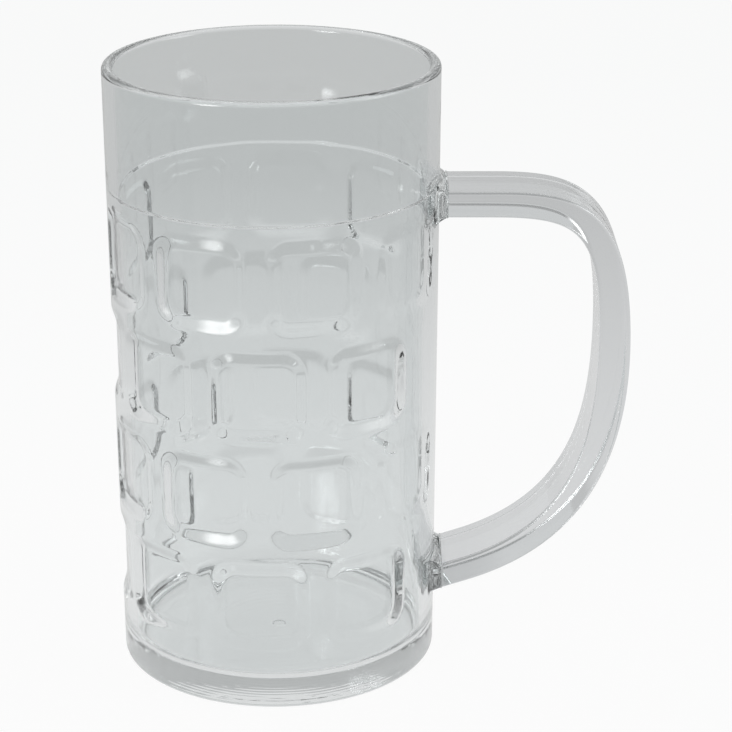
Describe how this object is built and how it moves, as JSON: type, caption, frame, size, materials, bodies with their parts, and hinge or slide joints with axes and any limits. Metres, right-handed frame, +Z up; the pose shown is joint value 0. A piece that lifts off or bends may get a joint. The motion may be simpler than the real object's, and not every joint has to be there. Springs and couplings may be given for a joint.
{
  "type": "beer mug",
  "caption": "Tall clear moulded beer mug with staggered rows of pressed dimples, a thick base, a fill ledge inside the mouth and a bonded D-shaped side handle.",
  "frame": {"origin": "centre of the flat underside of the base, where the mug stands", "axes": "+Z up along the body's axis, +X towards the handle, +Y across the handle"},
  "size_m": [0.1615, 0.1028, 0.193],
  "materials": {
    "clear_plastic": "clear polished moulding",
    "handle_plastic": "clear polished moulding",
    "clear_adhesive": "clear cured adhesive"
  },
  "bodies": {
    "root": {"mug_body": "clear_plastic", "handle": "handle_plastic", "upper_bond": "clear_adhesive", "lower_bond": "clear_adhesive"}
  },
  "joints": []
}
